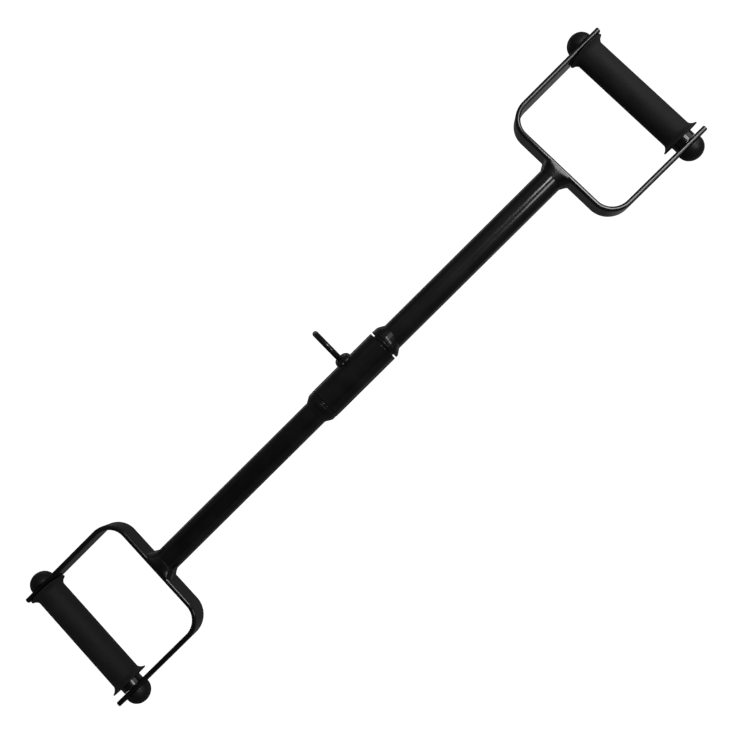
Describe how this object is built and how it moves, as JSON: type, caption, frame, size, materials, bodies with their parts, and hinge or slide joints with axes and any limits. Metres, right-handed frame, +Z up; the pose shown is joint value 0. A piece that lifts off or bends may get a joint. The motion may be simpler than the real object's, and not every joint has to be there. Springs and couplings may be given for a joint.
{
  "type": "pull up bar",
  "caption": "Straight round bar with a revolving sleeve and ring eye in the middle and a D-shaped stirrup handle with a turning rubber grip at each end.",
  "frame": {"origin": "centre of the opening of the ring eye, where the cable's hook pulls", "axes": "+X along the bar from the left handle to the right handle, +Z up the cable from the bar to the eye, +Y away from the user and square to the plane of both stirrups"},
  "size_m": [0.786, 0.0414, 0.1676],
  "materials": {
    "gloss_black_coat": "gloss black powder coat over steel",
    "black_rubber": "smooth matte moulded rubber",
    "black_plastic_dome": "matte moulded plastic",
    "nylon_bush": "natural nylon, hidden inside the sleeve and the grip tubes",
    "zinc_steel": "bright zinc plate, hidden under the domes and inside the grips"
  },
  "bodies": {
    "hanger": {"hanger_sleeve": "gloss_black_coat", "hanger_eye": "gloss_black_coat", "hanger_eye_weld": "gloss_black_coat", "sleeve_bush_left": "nylon_bush", "sleeve_bush_right": "nylon_bush"},
    "bar": {"shaft": "gloss_black_coat", "collar_left": "gloss_black_coat", "collar_right": "gloss_black_coat", "collar_weld_left": "gloss_black_coat", "collar_weld_right": "gloss_black_coat", "stirrup_left": "gloss_black_coat", "stirrup_right": "gloss_black_coat", "stirrup_weld_left": "gloss_black_coat", "stirrup_weld_right": "gloss_black_coat", "grip_bolt_left": "zinc_steel", "grip_bolt_right": "zinc_steel", "grip_nut_left": "zinc_steel", "grip_nut_right": "zinc_steel", "bolt_cap_left": "black_plastic_dome", "bolt_cap_right": "black_plastic_dome", "nut_cap_left": "black_plastic_dome", "nut_cap_right": "black_plastic_dome"},
    "left_grip": {"grip_tube_left": "gloss_black_coat", "grip_rubber_left": "black_rubber", "grip_bush_left_upper": "nylon_bush", "grip_bush_left_lower": "nylon_bush"},
    "right_grip": {"grip_tube_right": "gloss_black_coat", "grip_rubber_right": "black_rubber", "grip_bush_right_upper": "nylon_bush", "grip_bush_right_lower": "nylon_bush"}
  },
  "joints": [
    {"name": "bar_spin", "type": "hinge", "parent": "hanger", "child": "bar", "pos_m": [0, 0, -0.0371], "axis": [1, 0, 0], "continuous": true},
    {"name": "left_grip_spin", "type": "hinge", "parent": "bar", "child": "left_grip", "pos_m": [-0.3715, 0, -0.0371], "axis": [0, 0, 1], "continuous": true},
    {"name": "right_grip_spin", "type": "hinge", "parent": "bar", "child": "right_grip", "pos_m": [0.3745, 0, -0.0371], "axis": [0, 0, 1], "continuous": true}
  ]
}
